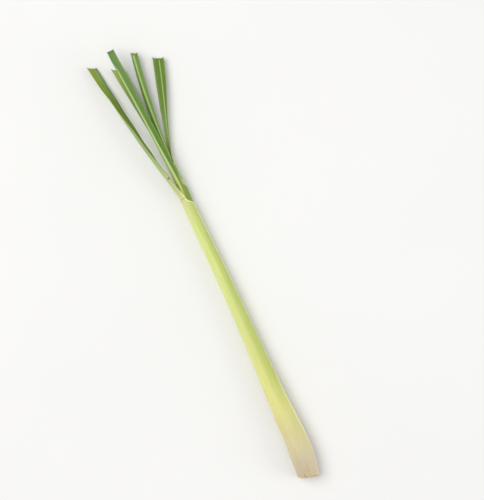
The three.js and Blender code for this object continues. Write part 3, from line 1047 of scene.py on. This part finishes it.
LOOKS = [
    # The first leaf paints shade on one flank of its root end and on one half of its blade's upper face,
    # widens its pale margin near the root end into a partly painted highlight, and has its upper face's
    # colours lifted towards the tip, partly as painted light on the unshaded half.
    look_of(
        LEAVES[0],
        1,
        OUTER_SHEATH,
        ("d9dd96", "cad28e", "b8c784", "9fb778", "9cb26c"),
        ("bccb72", "a3ba52", "8daa3e", "93ae3a", "b2c63e"),
        dull=0.4,
        darker_half=0.85,
        dark_margin=0.7,
        rib=0.25,
        margin=1.0,
        margin_reach=3.2,
        margin_colour="f6f3b4",
        blade_margin=0.0,
        collar_line=0.35,
        marks=[(3.1, 297.4, 1.5, "525c26")],  # across, along, size and colour
    ),
    # The second leaf's darker, greener sheath top, blade foot and flank are partly its own colour and partly
    # painted shade.
    look_of(
        LEAVES[1],
        2,
        INNER_SHEATH[:-1] + [(262, "8ea448")],
        ("829c40", "6c8e32", "5e882a", "628e34", "6c9044"),
        ("b5c46e", "95b04c", "7fa03f", "759838", "739236"),
        flank="7f9a3c",
        rib=0.66,
        rib_width=1.15,
        rib_widening=0.35,
        rib_drift=0.5,
        rib_below=30.0,
        rib_tip=24.0,
        pale_flank=0.55,
        dried="57602f",
        dried_reach=1.3,
    ),
    look_of(
        LEAVES[2],
        3,
        INNER_SHEATH,
        ("a8bd66", "95b25c", "80a050", "75984a", "6c9044"),
        ("c4d582", "b4c970", "a6be62", "a0b75a", "bacb62"),
    ),
    look_of(
        LEAVES[3],
        4,
        INNER_SHEATH,
        ("a8bd66", "8fad5a", "7a9f4e", "6a9044", "668b42"),
        ("b9cb6a", "9ab64c", "81a23e", "749637", "6f9134"),
    ),
    look_of(
        HEART,
        5,
        INNER_SHEATH,
        ("a9bf66", "98b85c", "86a94e", "7a9f46", "739a42"),
        ("b8cb6a", "9cb950", "86a741", "7b9e3a", "779a37"),
        collar_line=0.0,
    ),
]

# ---- The part ----

for layer, leaf in enumerate(LEAVES + [HEART]):
    piece = make_leaf(leaf, layer) if layer < len(LEAVES) else make_heart()
    piece.data.materials.append(LeafSkin(leaf["name"] + "_skin", LOOKS[layer]).material)
    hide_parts(leaf["name"])
    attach(piece, "root")

# ---- Table, light and camera, in metres ----

TABLE_HALF_SIZE = 4.0
TABLE_TONES = (0.86, 0.86, 0.855, 1), (0.88, 0.88, 0.875, 1)
TABLE_NOISE, TABLE_FADE = (3.0, 3.0), (0.3, 0.7)
TABLE_ROUGHNESS, TABLE_SPECULAR = 0.7, 0.2

VIEW_MIDDLE = np.array([211.1, -32.9, 0.0])  # what the camera looks down on, in the leaves' millimetres
VIEW_RIGHT = Vector((-0.4226, -0.9063, 0))  # turned so that the stalk leans as in the photograph
VIEW_UP = Vector((0.9063, -0.4226, 0))
VIEW_HEIGHT = 0.450  # of what the picture takes in
VIEW_LEVEL = 0.008  # above the table, where it takes that in
CAMERA_DISTANCE = 1.6
SENSOR = 36  # width of the camera's sensor, in millimetres

KEY_LIGHT = dict(place=(1.09, 1.15, 2.4), size=2.2, power=47.0, tint=(1.0, 0.985, 0.95))
EDGE_LIGHT = dict(place=(-1.03, -1.5, 0.7), size=1.0, power=10.0, tint=(1.0, 1.0, 0.98))
WORLD_COLOUR, WORLD_STRENGTH = (1, 1, 1, 1), 0.6


def table_material():
    g = Graph("table")
    place = g.make("TexCoord", {}).outputs["Object"]
    tone = g.fade(g.noise(place, *TABLE_NOISE), *TABLE_FADE)
    g.put(g.shader["Base Color"], g.mixed(tone, *TABLE_TONES))
    g.put(g.shader["Roughness"], TABLE_ROUGHNESS)
    g.put(g.shader["Specular IOR Level"], TABLE_SPECULAR)
    return g.material


def make_table():
    size = TABLE_HALF_SIZE
    mesh = bpy.data.meshes.new("table")
    corners = [(-size, -size, 0), (size, -size, 0), (size, size, 0), (-size, size, 0)]
    mesh.from_pydata(corners, [], [(0, 1, 2, 3)])
    table = bpy.data.objects.new("table", mesh)
    bpy.context.scene.collection.objects.link(table)
    mesh.materials.append(table_material())


def area_light(name, place, size, power, tint):
    """A square light that points at the middle of the part."""
    light = bpy.data.lights.new(name, "AREA")
    light.size = size
    light.energy = power
    light.color = tint
    lamp = bpy.data.objects.new(name, light)
    lamp.location = place
    lamp.rotation_euler = (-Vector(place)).to_track_quat("-Z", "Y").to_euler()
    bpy.context.scene.collection.objects.link(lamp)


def make_camera():
    """Looks straight down on the stalk."""
    camera = bpy.data.cameras.new("camera")
    camera.sensor_width = SENSOR
    camera.lens = SENSOR * CAMERA_DISTANCE / VIEW_HEIGHT
    holder = bpy.data.objects.new("camera", camera)
    turned = Matrix([VIEW_RIGHT, VIEW_UP, Vector((0, 0, 1))]).transposed().to_4x4()
    over = (ORIGIN + VIEW_MIDDLE) * MILLIMETRE
    place = (over[0], over[1], CAMERA_DISTANCE + VIEW_LEVEL)
    holder.matrix_world = Matrix.Translation(place) @ turned
    bpy.context.scene.collection.objects.link(holder)
    bpy.context.scene.camera = holder


def light_world():
    world = bpy.data.worlds.new("studio")
    bpy.context.scene.world = world
    world.use_nodes = True
    background = world.node_tree.nodes["Background"].inputs
    background["Color"].default_value = WORLD_COLOUR
    background["Strength"].default_value = WORLD_STRENGTH


make_table()
make_camera()
area_light("key", **KEY_LIGHT)
area_light("edge", **EDGE_LIGHT)
light_world()
bpy.context.scene.view_settings.view_transform = "Standard"
